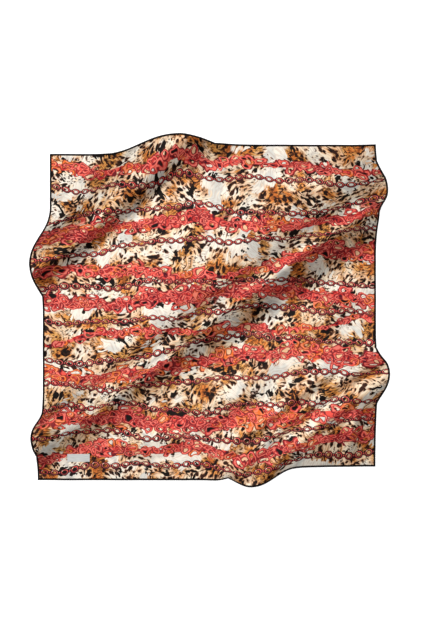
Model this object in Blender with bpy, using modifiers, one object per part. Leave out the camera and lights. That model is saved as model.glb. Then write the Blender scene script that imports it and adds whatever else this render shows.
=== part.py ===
"""Silk square scarf, laid out on a flat surface with three folds running across it.

Lengths are in metres and +Z is up. The scarf lies on the plane z = 0, with the origin
under the middle of its laid outline, +X to the right and +Y away from the wearer's side.

Every piece is worked out from one rule, laid(u, v). It gives the place, on the laid
scarf, of the point that lies u to the right and v up from the middle of the flat cut.
"""

import math
from collections import namedtuple

import bmesh
import bpy
from mathutils import Vector

# ---------------------------------------------------------------- driving dimensions

CUT = 0.900  # side of the square, outside the rolled hems
WALL = 0.0012  # thickness of the cloth
HEM_RADIUS = 0.0013  # half the thickness of a rolled hem
SEAM_GAP = 0.0003  # gap between one piece and the next
LABEL_SIZE = (0.0595, 0.0208)  # width and height of the sewn label
LABEL_WALL = 0.0010  # thickness of the label
LABEL_PLACE = (-0.3410, -0.3915)  # middle of the label on the flat cut

PANEL_CELLS = 50  # cells of cloth along each side of the square
LABEL_CELLS = (6, 2)
HEM_SIDES_RESOLUTION = 1  # six flats round the hem

HALF_CUT = CUT / 2
HALF_PANEL = HALF_CUT - 2 * HEM_RADIUS - SEAM_GAP

# ---------------------------------------------------------------- how the cloth lies
# Places in these tables are on the laid square before its folds draw the cloth in.

# Middle of the laid outline, which becomes the origin.
MIDDLE = Vector((-0.00016, -0.00157))

# Corners of the square once its weave has eased a little askew.
Corners = namedtuple("Corners", "bottom_left bottom_right top_left top_right")
CORNERS = Corners(
    bottom_left=Vector((-0.4233, -0.4588)),
    bottom_right=Vector((0.4312, -0.4628)),
    top_left=Vector((-0.4233, 0.4233)),
    top_right=Vector((0.4238, 0.4207)),
)

# A fold runs from start to end, both on the square's edge. Seen from above its crest
# bows off that line, down and to the right where bow is positive. Its height and the
# reach of its flanks, upper left and lower right of the crest, change along it. The
# cloth beyond the fold on its loose side is drawn in by the slack that it takes up, little
# by little over the two distances in drawn_over, above the fold's line and below it.
FoldRow = namedtuple("FoldRow", "along bow height upper_reach lower_reach")
Fold = namedtuple(
    "Fold", "start end loose_side slack_at_start slack_at_end drawn_over rows"
)
FOLDS = {
    "upper": Fold(
        start=Vector((-0.4233, 0.1330)),
        end=Vector((-0.0860, 0.4225)),
        loose_side="upper",
        slack_at_start=Vector((0.0179, -0.0255)),
        slack_at_end=Vector((0.0179, -0.0255)),
        drawn_over=(0.122, 0.084),
        rows=(
            FoldRow(0.00, 0.006, 0.046, 0.126, 0.106),
            FoldRow(0.16, 0.007, 0.041, 0.108, 0.100),
            FoldRow(0.36, 0.001, 0.033, 0.112, 0.098),
            FoldRow(0.56, -0.004, 0.033, 0.146, 0.096),
            FoldRow(0.78, -0.006, 0.039, 0.200, 0.098),
            FoldRow(1.00, 0.010, 0.048, 0.210, 0.122),
        ),
    ),
    "middle": Fold(
        start=Vector((-0.4233, -0.3360)),
        end=Vector((0.4240, 0.2870)),
        loose_side="lower",
        slack_at_start=Vector((-0.0128, 0.0255)),
        slack_at_end=Vector((0.0000, 0.0306)),
        drawn_over=(0.068, 0.064),
        rows=(
            FoldRow(0.00, 0.002, 0.035, 0.120, 0.100),
            FoldRow(0.10, 0.006, 0.034, 0.106, 0.106),
            FoldRow(0.26, 0.008, 0.032, 0.102, 0.110),
            FoldRow(0.38, 0.009, 0.036, 0.108, 0.112),
            FoldRow(0.50, 0.014, 0.043, 0.124, 0.112),
            FoldRow(0.64, 0.017, 0.045, 0.146, 0.110),
            FoldRow(0.80, 0.018, 0.052, 0.160, 0.114),
            FoldRow(0.92, 0.025, 0.053, 0.168, 0.116),
            FoldRow(1.00, 0.014, 0.048, 0.162, 0.120),
        ),
    ),
    "lower": Fold(
        start=Vector((0.1120, -0.4620)),
        end=Vector((0.4262, -0.2090)),
        loose_side="lower",
        slack_at_start=Vector((-0.0020, 0.0355)),
        slack_at_end=Vector((-0.0020, 0.0355)),
        drawn_over=(0.066, 0.094),
        rows=(
            FoldRow(0.00, 0.000, 0.034, 0.082, 0.140),
            FoldRow(0.18, -0.002, 0.028, 0.080, 0.180),
            FoldRow(0.36, -0.004, 0.026, 0.080, 0.200),
            FoldRow(0.56, -0.006, 0.026, 0.080, 0.210),
            FoldRow(0.74, -0.004, 0.029, 0.084, 0.200),
            FoldRow(0.88, -0.002, 0.034, 0.092, 0.180),
            FoldRow(1.00, 0.000, 0.038, 0.098, 0.170),
        ),
    ),
}

# How softly a fold runs out: 1 for an even wave, less for a longer and flatter foot.
FOOT_DRAWN_OUT = 0.80

# Where a fold runs out at an edge it flares past it. The flare dies away along the edge
# over its two reaches, with a crisp or a soft foot (1 or 0), and inwards over its depth.
# "before" is the side of smaller x or y.
Flare = namedtuple(
    "Flare", "fold at_end edge outward before after crisp_before crisp_after depth"
)
FLARES = (
    Flare("upper", False, "left", 0.0332, 0.098, 0.152, 1.0, 0.1, 0.120),
    Flare("upper", True, "top", 0.0310, 0.178, 0.100, 0.4, 0.8, 0.120),
    Flare("middle", False, "left", 0.0165, 0.056, 0.074, 1.0, 0.6, 0.090),
    Flare("middle", True, "right", 0.0195, 0.072, 0.088, 0.5, 1.0, 0.090),
    Flare("lower", False, "bottom", 0.0305, 0.054, 0.112, 0.9, 0.0, 0.100),
    Flare("lower", True, "right", 0.0268, 0.090, 0.084, 0.7, 0.9, 0.090),
)
OUTWARD = {
    "left": Vector((-1.0, 0.0)),
    "right": Vector((1.0, 0.0)),
    "bottom": Vector((0.0, -1.0)),
    "top": Vector((0.0, 1.0)),
}

# Low swells, where the cloth between the folds lies clear of the surface.
Swell = namedtuple("Swell", "x y half_length half_width turn_deg height")
SWELLS = (
    Swell(-0.330, 0.320, 0.120, 0.060, 20.0, 0.0050),
    Swell(-0.250, 0.110, 0.170, 0.062, 28.0, 0.0065),
    Swell(0.040, 0.300, 0.150, 0.070, 38.0, 0.0070),
    Swell(0.240, 0.350, 0.130, 0.056, 10.0, 0.0055),
    Swell(-0.060, 0.120, 0.120, 0.060, 42.0, 0.0060),
    Swell(-0.340, -0.060, 0.120, 0.055, 40.0, 0.0055),
    Swell(0.300, -0.040, 0.140, 0.060, 30.0, 0.0060),
    Swell(0.060, -0.240, 0.160, 0.064, 35.0, 0.0070),
    Swell(-0.110, -0.350, 0.140, 0.056, 15.0, 0.0060),
    Swell(0.370, -0.370, 0.090, 0.024, 82.0, 0.0090),
)

# ---------------------------------------------------------------- materials

Finish = namedtuple("Finish", "color roughness sheen")
FINISHES = {
    "printed_silk": Finish((0.72, 0.42, 0.30, 1.0), 0.42, 0.35),
    "hem_silk": Finish((0.018, 0.016, 0.018, 1.0), 0.50, 0.20),
    "label_satin": Finish((0.86, 0.85, 0.82, 1.0), 0.38, 0.20),
}

# ---------------------------------------------------------------- the laid form


def clamped(value, low, high):
    return max(low, min(high, value))


def between(rows, column, along):
    """The smooth curve through one column of a fold's rows."""
    along = clamped(along, 0.0, 1.0)
    last = len(rows) - 1
    index = max(i for i in range(last) if rows[i].along <= along)

    def value(i):
        return getattr(rows[clamped(i, 0, last)], column)

    def slope(i):
        before, after = clamped(i - 1, 0, last), clamped(i + 1, 0, last)
        return (value(after) - value(before)) / (rows[after].along - rows[before].along)

    span = rows[index + 1].along - rows[index].along
    t = (along - rows[index].along) / span
    return (
        (2 * t**3 - 3 * t**2 + 1) * value(index)
        + (t**3 - 2 * t**2 + t) * span * slope(index)
        + (3 * t**2 - 2 * t**3) * value(index + 1)
        + (t**3 - t**2) * span * slope(index + 1)
    )


def eased_square(u, v):
    """Place of a point of the flat cut on the laid square, before any fold."""
    right = u / CUT + 0.5
    up = v / CUT + 0.5
    bottom = CORNERS.bottom_left.lerp(CORNERS.bottom_right, right)
    top = CORNERS.top_left.lerp(CORNERS.top_right, right)
    return bottom.lerp(top, up)


def fold_effect(fold, place):
    """How high a fold lifts the cloth at a place, and how far it draws it in."""
    line = fold.end - fold.start
    ahead = line.normalized()
    lower_right = Vector((ahead.y, -ahead.x))
    offset = place - fold.start
    along = offset.dot(ahead) / line.length
    upper_reach = between(fold.rows, "upper_reach", along)
    lower_reach = between(fold.rows, "lower_reach", along)
    beside = offset.dot(lower_right)
    across = beside - between(fold.rows, "bow", along)
    reach = upper_reach if across < 0 else lower_reach
    drop = min(abs(across) / reach, 1.0) ** FOOT_DRAWN_OUT
    lift = between(fold.rows, "height", along) * (1 + math.cos(math.pi * drop)) / 2

    # A flank uses up cloth in proportion to its steepness squared, so a short flank
    # takes more of it than a long one.
    upper_draw, lower_draw = fold.drawn_over
    upper_share = lower_draw / (upper_draw + lower_draw)
    part = clamped(beside / (upper_draw if beside < 0 else lower_draw), -1.0, 1.0)
    used = part - math.sin(2 * math.pi * part) / (2 * math.pi)
    taken = upper_share + used * (upper_share if part < 0 else 1 - upper_share)
    if fold.loose_side == "upper":
        taken = 1 - taken
    slack = fold.slack_at_start.lerp(fold.slack_at_end, clamped(along, 0.0, 1.0))
    return lift, taken * slack


def flare_effect(flare, place, u, v):
    """How far a flare carries the cloth past its edge at a place."""
    fold = FOLDS[flare.fold]
    tip = fold.end if flare.at_end else fold.start
    outward = OUTWARD[flare.edge]
    sideways = Vector((abs(outward.y), abs(outward.x)))
    beside = (place - tip).dot(sideways)
    reach, crisp = (
        (flare.before, flare.crisp_before)
        if beside < 0
        else (flare.after, flare.crisp_after)
    )
    part = min(abs(beside) / reach, 1.0)
    soft_foot = (1 + math.cos(math.pi * part)) / 2
    crisp_foot = math.cos(math.pi * part / 2)
    inward = clamped((HALF_CUT - Vector((u, v)).dot(outward)) / flare.depth, 0.0, 1.0)
    fade = (1 - inward) ** 2 * (1 + 2 * inward)
    return flare.outward * fade * (soft_foot + crisp * (crisp_foot - soft_foot)) * outward


def swell_lift(swell, place):
    """How high a swell lifts the cloth at a place."""
    turn = math.radians(swell.turn_deg)
    offset = place - Vector((swell.x, swell.y))
    length = offset.dot(Vector((math.cos(turn), math.sin(turn)))) / swell.half_length
    width = offset.dot(Vector((-math.sin(turn), math.cos(turn)))) / swell.half_width
    return swell.height * max(0.0, 1 - length**2 - width**2) ** 2


def laid(u, v):
    """Place of a point of the flat cut on the underside of the laid scarf."""
    place = eased_square(u, v)
    spread = place - MIDDLE
    lift = sum(swell_lift(swell, place) for swell in SWELLS)
    for fold in FOLDS.values():
        fold_lift, drawn_in = fold_effect(fold, place)
        lift += fold_lift
        spread = spread + drawn_in
    for flare in FLARES:
        spread = spread + flare_effect(flare, place, u, v)
    return Vector((spread.x, spread.y, lift))


def cloth_directions(u, v):
    """Unit directions along u, along v and out of the cloth's face at a point."""
    step = 0.0005
    along_u = (laid(u + step, v) - laid(u - step, v)).normalized()
    along_v = (laid(u, v + step) - laid(u, v - step)).normalized()
    return along_u, along_v, along_u.cross(along_v).normalized()


# ---------------------------------------------------------------- building


def clear_scene():
    for obj in list(bpy.data.objects):
        bpy.data.objects.remove(obj, do_unlink=True)


def make_material(name):
    finish = FINISHES[name]
    material = bpy.data.materials.new(name)
    material.use_nodes = True
    shader = material.node_tree.nodes["Principled BSDF"]
    shader.inputs["Base Color"].default_value = finish.color
    shader.inputs["Roughness"].default_value = finish.roughness
    shader.inputs["Metallic"].default_value = 0.0
    shader.inputs["Sheen Weight"].default_value = finish.sheen
    material.diffuse_color = finish.color
    return material


def make_sheet(name, middle, half_size, cells, raised, wall, material, collection):
    """A piece of cloth that covers a rectangle of the flat cut."""
    mesh = bpy.data.meshes.new(name)
    grid = bmesh.new()
    bmesh.ops.create_grid(grid, x_segments=cells[0], y_segments=cells[1], size=1.0)
    for vert in grid.verts:
        u = middle[0] + vert.co.x * half_size[0]
        v = middle[1] + vert.co.y * half_size[1]
        vert.co = laid(u, v) + cloth_directions(u, v)[2] * (raised + wall)
    grid.to_mesh(mesh)
    grid.free()
    mesh.shade_smooth()
    mesh.materials.append(material)
    sheet = bpy.data.objects.new(name, mesh)
    collection.objects.link(sheet)
    thickness = sheet.modifiers.new("cloth wall", "SOLIDIFY")
    thickness.thickness = wall
    thickness.offset = -1.0
    return sheet


def hem_points(edge):
    """The middle line of the rolled hem along one edge of the panel."""
    outward = OUTWARD[edge]
    sideways = Vector((abs(outward.y), abs(outward.x)))
    clear_of_panel = SEAM_GAP + HEM_RADIUS
    points = []
    for index in range(PANEL_CELLS + 1):
        spot = HALF_PANEL * (outward + (2 * index / PANEL_CELLS - 1) * sideways)
        along_u, along_v, up = cloth_directions(spot.x, spot.y)
        edge_line = along_v if outward.x else along_u
        away = edge_line.cross(up)
        if away.to_2d().dot(outward) < 0:
            away.negate()
        points.append(laid(spot.x, spot.y) + away * clear_of_panel + up * HEM_RADIUS)
    return points


def run_past_corners(points):
    """Lengthens a hem at both ends, to close the corners over the side hems."""
    past = SEAM_GAP + 2 * HEM_RADIUS
    first = points[0] + (points[0] - points[1]).normalized() * past
    last = points[-1] + (points[-1] - points[-2]).normalized() * past
    return [first] + points[1:-1] + [last]


def make_hem(edge, material, collection):
    points = hem_points(edge)
    if edge in ("top", "bottom"):
        points = run_past_corners(points)
    name = "hem_" + edge
    curve = bpy.data.curves.new(name, "CURVE")
    curve.dimensions = "3D"
    curve.bevel_depth = HEM_RADIUS
    curve.bevel_resolution = HEM_SIDES_RESOLUTION
    curve.use_fill_caps = True
    curve.twist_mode = "Z_UP"
    spline = curve.splines.new("POLY")
    spline.points.add(len(points) - 1)
    for spline_point, point in zip(spline.points, points):
        spline_point.co = (*point, 1.0)
    curve.materials.append(material)
    hem = bpy.data.objects.new(name, curve)
    collection.objects.link(hem)
    return hem


def main():
    clear_scene()
    collection = bpy.data.collections.new("silk_square_scarf")
    bpy.context.scene.collection.children.link(collection)
    materials = {name: make_material(name) for name in FINISHES}

    make_sheet(
        "panel",
        middle=(0.0, 0.0),
        half_size=(HALF_PANEL, HALF_PANEL),
        cells=(PANEL_CELLS, PANEL_CELLS),
        raised=0.0,
        wall=WALL,
        material=materials["printed_silk"],
        collection=collection,
    )
    for edge in OUTWARD:
        make_hem(edge, materials["hem_silk"], collection)
    make_sheet(
        "label",
        middle=LABEL_PLACE,
        half_size=(LABEL_SIZE[0] / 2, LABEL_SIZE[1] / 2),
        cells=LABEL_CELLS,
        raised=WALL + SEAM_GAP,
        wall=LABEL_WALL,
        material=materials["label_satin"],
        collection=collection,
    )


main()
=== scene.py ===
"""Silk square scarf laid flat: printed silk, a dark hand-rolled hem and a bare sewn label.

Lengths are in metres and +Z is up. Every piece of cloth is worked out from laid(), the rule
by which a point of the flat cut comes to its place on the laid scarf.
"""
import math
from collections import namedtuple

import bmesh
import bpy
import numpy as np
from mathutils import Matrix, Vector


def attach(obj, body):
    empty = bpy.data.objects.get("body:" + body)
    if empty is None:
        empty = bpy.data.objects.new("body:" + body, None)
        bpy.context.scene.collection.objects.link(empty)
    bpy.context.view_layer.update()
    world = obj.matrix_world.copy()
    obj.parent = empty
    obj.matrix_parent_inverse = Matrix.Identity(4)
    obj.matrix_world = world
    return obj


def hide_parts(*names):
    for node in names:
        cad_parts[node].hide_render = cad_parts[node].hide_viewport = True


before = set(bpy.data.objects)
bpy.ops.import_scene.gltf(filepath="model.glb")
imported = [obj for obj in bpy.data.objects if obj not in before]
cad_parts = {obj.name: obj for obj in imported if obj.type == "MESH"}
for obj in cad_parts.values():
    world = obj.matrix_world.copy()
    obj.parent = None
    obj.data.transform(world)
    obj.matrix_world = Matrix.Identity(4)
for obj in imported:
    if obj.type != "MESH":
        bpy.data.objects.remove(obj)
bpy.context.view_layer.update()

# ---------------------------------------------------------------- driving dimensions

CUT = 0.900  # side of the square, outside the rolled hems
HEM_RADIUS = 0.0013  # half the thickness of a rolled hem
SEAM_GAP = 0.0003
HALF_CUT = CUT / 2
HALF_PANEL = HALF_CUT - 2 * HEM_RADIUS - SEAM_GAP

SILK_THICKNESS = 0.0005
SILK_RAISED = 0.0003  # clear of the surface that the scarf lies on
SILK_TOP = SILK_RAISED + SILK_THICKNESS  # the printed face
PANEL_CELLS = 212
PANEL_REACH = HALF_PANEL + HEM_RADIUS  # the silk runs on into the middle of its hem
PRINTED_BORDER = 0.0018  # black silk that shows beside the hem
BORDER_SOFTNESS = 0.0002
WEAVE_DEPTH = 0.0001

HEM_STITCH_PITCH = 0.0052
HEM_STITCHES = round(2 * HALF_PANEL / HEM_STITCH_PITCH)  # along one side
POINTS_PER_STITCH = 4  # points of the roll's line from one stitch to the next
ROLL_FILL = 0.97  # share of the hem's room that the roll fills
ROLL_HEIGHT = 0.98  # height of the roll's middle, in hem radii
ROLL_UNEVEN = 0.025  # how much its thickness strays, and how much a stitch pinches it
ROLL_PINCH = 0.06
THREAD_RADIUS = 0.00019
LABEL_THREAD_RADIUS = THREAD_RADIUS * 0.8
MERGE_GAP = 0.000005  # points closer than this become one

LABEL_SIZE = np.array((0.0595, 0.0208))
LABEL_PLACE = np.array((-0.3410, -0.3915))  # its middle, on the flat cut
LABEL_CELLS = (48, 18)
LABEL_THICKNESS = 0.00045
LABEL_CLEAR = 0.00012  # clear of the silk under it
LABEL_ROUNDING = 0.00012
LABEL_TURN_IN = 0.12  # share of its half width that is folded under at each end
TURN_IN_SLOPE = 0.03  # share of its half width over which a folded end rises
TURN_IN_LIFT = 0.00022
RUNNING_DASH = 0.0019  # length of one stitch round the label
RUNNING_PITCH = 0.0028
RUNNING_INSET = 0.0013
RUNNING_SINK = (-0.00016, 0.00006, 0.00006, -0.00016)  # its thread dips in at both ends

CLOTH_STEP = 0.0005  # step over which the cloth's directions are measured

# ---------------------------------------------------------------- how the cloth lies
# Places in these tables are on the laid square before its folds draw the cloth in.

MIDDLE = np.array((-0.00016, -0.00157))
CORNERS = {
    "bottom_left": np.array((-0.4233, -0.4588)),
    "bottom_right": np.array((0.4312, -0.4628)),
    "top_left": np.array((-0.4233, 0.4233)),
    "top_right": np.array((0.4238, 0.4207)),
}

# A fold runs from start to end. Its crest bows off that line, down and to the right where
# bow is positive. The cloth on its loose side is drawn in by the slack that it takes up,
# little by little over the distances in drawn_over, above the fold's line and below it.
FoldRow = namedtuple("FoldRow", "along bow height upper_reach lower_reach")
Fold = namedtuple(
    "Fold", "start end loose_side slack_at_start slack_at_end drawn_over rows"
)
FOLDS = {
    "upper": Fold(
        start=np.array((-0.4233, 0.1330)),
        end=np.array((-0.0860, 0.4225)),
        loose_side="upper",
        slack_at_start=np.array((0.0179, -0.0255)),
        slack_at_end=np.array((0.0179, -0.0255)),
        drawn_over=(0.122, 0.084),
        rows=(
            FoldRow(0.00, 0.006, 0.046, 0.126, 0.106),
            FoldRow(0.16, 0.007, 0.041, 0.108, 0.100),
            FoldRow(0.36, 0.001, 0.033, 0.112, 0.098),
            FoldRow(0.56, -0.004, 0.033, 0.146, 0.096),
            FoldRow(0.78, -0.006, 0.039, 0.200, 0.098),
            FoldRow(1.00, 0.010, 0.048, 0.210, 0.122),
        ),
    ),
    "middle": Fold(
        start=np.array((-0.4233, -0.3360)),
        end=np.array((0.4240, 0.2870)),
        loose_side="lower",
        slack_at_start=np.array((-0.0128, 0.0255)),
        slack_at_end=np.array((0.0000, 0.0306)),
        drawn_over=(0.068, 0.064),
        rows=(
            FoldRow(0.00, 0.002, 0.035, 0.120, 0.100),
            FoldRow(0.10, 0.006, 0.034, 0.106, 0.106),
            FoldRow(0.26, 0.008, 0.032, 0.102, 0.110),
            FoldRow(0.38, 0.009, 0.036, 0.108, 0.112),
            FoldRow(0.50, 0.014, 0.043, 0.124, 0.112),
            FoldRow(0.64, 0.017, 0.045, 0.146, 0.110),
            FoldRow(0.80, 0.018, 0.052, 0.160, 0.114),
            FoldRow(0.92, 0.025, 0.053, 0.168, 0.116),
            FoldRow(1.00, 0.014, 0.048, 0.162, 0.120),
        ),
    ),
    "lower": Fold(
        start=np.array((0.1120, -0.4620)),
        end=np.array((0.4262, -0.2090)),
        loose_side="lower",
        slack_at_start=np.array((-0.0020, 0.0355)),
        slack_at_end=np.array((-0.0020, 0.0355)),
        drawn_over=(0.066, 0.094),
        rows=(
            FoldRow(0.00, 0.000, 0.034, 0.082, 0.140),
            FoldRow(0.18, -0.002, 0.028, 0.080, 0.180),
            FoldRow(0.36, -0.004, 0.026, 0.080, 0.200),
            FoldRow(0.56, -0.006, 0.026, 0.080, 0.210),
            FoldRow(0.74, -0.004, 0.029, 0.084, 0.200),
            FoldRow(0.88, -0.002, 0.034, 0.092, 0.180),
            FoldRow(1.00, 0.000, 0.038, 0.098, 0.170),
        ),
    ),
}

FOOT_DRAWN_OUT = 0.80  # 1 for an even wave, less where a fold runs out more softly

# Where a fold runs out at an edge it flares past it.
Flare = namedtuple(
    "Flare", "fold at_end edge outward before after crisp_before crisp_after depth"
)
FLARES = (
    Flare("upper", False, "left", 0.0332, 0.098, 0.152, 1.0, 0.1, 0.120),
    Flare("upper", True, "top", 0.0310, 0.178, 0.100, 0.4, 0.8, 0.120),
    Flare("middle", False, "left", 0.0165, 0.056, 0.074, 1.0, 0.6, 0.090),
    Flare("middle", True, "right", 0.0195, 0.072, 0.088, 0.5, 1.0, 0.090),
    Flare("lower", False, "bottom", 0.0305, 0.054, 0.112, 0.9, 0.0, 0.100),
    Flare("lower", True, "right", 0.0268, 0.090, 0.084, 0.7, 0.9, 0.090),
)
OUTWARD = {
    "left": np.array((-1.0, 0.0)),
    "right": np.array((1.0, 0.0)),
    "bottom": np.array((0.0, -1.0)),
    "top": np.array((0.0, 1.0)),
}

# Low swells, where the cloth between the folds lies clear of the surface.
Swell = namedtuple("Swell", "x y half_length half_width turn_deg height")
SWELLS = (
    Swell(-0.330, 0.320, 0.120, 0.060, 20.0, 0.0050),
    Swell(-0.250, 0.110, 0.170, 0.062, 28.0, 0.0065),
    Swell(0.040, 0.300, 0.150, 0.070, 38.0, 0.0070),
    Swell(0.240, 0.350, 0.130, 0.056, 10.0, 0.0055),
    Swell(-0.060, 0.120, 0.120, 0.060, 42.0, 0.0060),
    Swell(-0.340, -0.060, 0.120, 0.055, 40.0, 0.0055),
    Swell(0.300, -0.040, 0.140, 0.060, 30.0, 0.0060),
    Swell(0.060, -0.240, 0.160, 0.064, 35.0, 0.0070),
    Swell(-0.110, -0.350, 0.140, 0.056, 15.0, 0.0060),
    Swell(0.370, -0.370, 0.090, 0.024, 82.0, 0.0090),
)

# Small creases, listed one by one: soft ridges where height is positive, troughs where it is
# negative. Bend is how far the middle of a crease bows to its left.
Crease = namedtuple("Crease", "x y half_length half_width turn_deg bend height")
CREASES = (
    Crease(-0.355, 0.250, 0.105, 0.020, 44.0, 0.014, -0.0022),
    Crease(-0.270, 0.345, 0.090, 0.017, 35.0, -0.010, -0.0018),
    Crease(-0.205, 0.395, 0.060, 0.014, 58.0, 0.006, 0.0014),
    Crease(-0.130, 0.300, 0.085, 0.019, 36.0, 0.008, -0.0016),
    Crease(-0.030, 0.395, 0.055, 0.013, 70.0, 0.004, 0.0013),
    Crease(0.075, 0.250, 0.120, 0.024, 30.0, 0.018, 0.0022),
    Crease(0.150, 0.350, 0.080, 0.018, -12.0, 0.010, 0.0015),
    Crease(0.255, 0.300, 0.085, 0.020, 48.0, -0.012, 0.0018),
    Crease(0.370, 0.345, 0.055, 0.015, 22.0, 0.006, 0.0014),
    Crease(-0.330, 0.035, 0.090, 0.022, 26.0, -0.010, 0.0018),
    Crease(-0.180, 0.040, 0.110, 0.020, 38.0, 0.012, -0.0014),
    Crease(-0.065, 0.050, 0.085, 0.022, 32.0, 0.012, -0.0020),
    Crease(0.100, 0.110, 0.080, 0.016, 40.0, -0.008, -0.0019),
    Crease(0.290, 0.205, 0.060, 0.014, 31.0, 0.004, 0.0016),
    Crease(0.385, 0.215, 0.050, 0.013, 12.0, -0.006, 0.0015),
    Crease(0.350, 0.105, 0.075, 0.020, 36.0, 0.010, -0.0015),
    Crease(0.205, 0.010, 0.105, 0.022, 28.0, -0.014, 0.0020),
    Crease(0.050, -0.110, 0.100, 0.024, 44.0, 0.014, 0.0018),
    Crease(-0.160, -0.215, 0.090, 0.018, 36.0, -0.008, -0.0014),
    Crease(-0.300, -0.200, 0.085, 0.022, 30.0, 0.010, 0.0017),
    Crease(-0.385, -0.290, 0.050, 0.014, 8.0, 0.004, 0.0012),
    Crease(-0.250, -0.330, 0.090, 0.020, 22.0, 0.012, 0.0017),
    Crease(-0.030, -0.300, 0.100, 0.022, 18.0, -0.012, -0.0018),
    Crease(0.060, -0.400, 0.060, 0.016, 55.0, 0.006, 0.0015),
    Crease(0.215, -0.320, 0.080, 0.016, 44.0, 0.008, -0.0016),
    Crease(0.278, -0.205, 0.160, 0.020, 38.0, -0.004, 0.0074),
    Crease(0.260, -0.410, 0.075, 0.016, 8.0, 0.008, 0.0016),
    Crease(0.395, -0.300, 0.055, 0.014, 64.0, -0.004, 0.0014),
    Crease(0.180, -0.140, 0.110, 0.024, 24.0, 0.016, 0.0016),
)

# Soft ridges and troughs that follow a fold. Along is the share of the way along its line, and
# beside is how far down and to the right of it they lie. Each fold has the ridges on its lower
# flank first, then the narrow troughs by its crest, then the rest.
FoldCrease = namedtuple(
    "FoldCrease", "fold along beside half_length half_width turn_deg bend height"
)
FOLD_CREASES = (
    FoldCrease("middle", 0.07, 0.048, 0.230, 0.020, 35.0, -0.003, 0.0064),
    FoldCrease("middle", 0.36, 0.055, 0.260, 0.020, 36.0, 0.002, 0.0060),
    FoldCrease("middle", 0.63, 0.058, 0.240, 0.021, 37.5, -0.002, 0.0072),
    FoldCrease("middle", 0.90, 0.065, 0.210, 0.021, 35.5, 0.000, 0.0072),
    FoldCrease("middle", 0.06, 0.014, 0.230, 0.012, 36.3, 0.000, -0.0026),
    FoldCrease("middle", 0.34, 0.017, 0.240, 0.013, 36.0, 0.000, -0.0026),
    FoldCrease("middle", 0.63, 0.017, 0.230, 0.013, 36.0, 0.000, -0.0028),
    FoldCrease("middle", 0.90, 0.022, 0.210, 0.013, 36.3, 0.000, -0.0030),
    FoldCrease("middle", 0.12, 0.092, 0.200, 0.042, 37.0, 0.004, 0.0030),
    FoldCrease("middle", 0.38, 0.098, 0.200, 0.045, 35.0, -0.003, 0.0035),
    FoldCrease("middle", 0.25, 0.010, 0.220, 0.046, 36.3, 0.000, -0.0060),
    FoldCrease("upper", 0.03, 0.036, 0.120, 0.019, 40.0, 0.000, 0.0046),
    FoldCrease("upper", 0.52, 0.036, 0.140, 0.017, 41.0, 0.002, 0.0012),
    FoldCrease("lower", 0.24, 0.017, 0.140, 0.019, 39.0, 0.003, 0.0036),
    FoldCrease("lower", 0.66, 0.015, 0.140, 0.019, 38.0, 0.000, 0.0034),
    FoldCrease("lower", 0.28, -0.003, 0.150, 0.011, 39.0, 0.000, -0.0022),
    FoldCrease("lower", 0.72, -0.004, 0.140, 0.011, 38.5, 0.000, -0.0020),
    FoldCrease("lower", 0.22, -0.092, 0.120, 0.020, 39.0, 0.004, 0.0058),
    FoldCrease("lower", 0.50, -0.064, 0.180, 0.015, 38.0, 0.002, -0.0030),
    FoldCrease("lower", 0.48, 0.002, 0.180, 0.048, 39.0, 0.000, -0.0060),
)

# Fine unevenness of loosely laid silk, as crossing ripples.
Ripple = namedtuple("Ripple", "turn_deg wavelength height shift")
RIPPLES = (
    Ripple(52.0, 0.083, 0.00022, 0.4),
    Ripple(-31.0, 0.061, 0.00014, 2.1),
    Ripple(104.0, 0.047, 0.00010, 4.6),
    Ripple(12.0, 0.118, 0.00020, 5.2),
)
RIPPLE_DEPTH = sum(ripple.height for ripple in RIPPLES)


def between(rows, column, along):
    """The smooth curve through one column of a fold's rows, at many places along it."""
    stops = np.array([row.along for row in rows])
    values = np.array([getattr(row, column) for row in rows])
    index = np.arange(len(rows))
    before = np.maximum(index - 1, 0)
    after = np.minimum(index + 1, len(rows) - 1)
    slopes = (values[after] - values[before]) / (stops[after] - stops[before])
    along = np.clip(along, 0.0, 1.0)
    at = np.clip(np.searchsorted(stops, along, side="right") - 1, 0, len(rows) - 2)
    span = stops[at + 1] - stops[at]
    t = (along - stops[at]) / span
    return (
        (2 * t**3 - 3 * t**2 + 1) * values[at]
        + (t**3 - 2 * t**2 + t) * span * slopes[at]
        + (3 * t**2 - 2 * t**3) * values[at + 1]
        + (t**3 - t**2) * span * slopes[at + 1]
    )


def eased_square(flat):
    """Places of points of the flat cut on the laid square, before any fold."""
    right, up = (flat / CUT + 0.5).T[:, :, None]
    bottom = CORNERS["bottom_left"] * (1 - right) + CORNERS["bottom_right"] * right
    top = CORNERS["top_left"] * (1 - right) + CORNERS["top_right"] * right
    return bottom * (1 - up) + top * up


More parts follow.
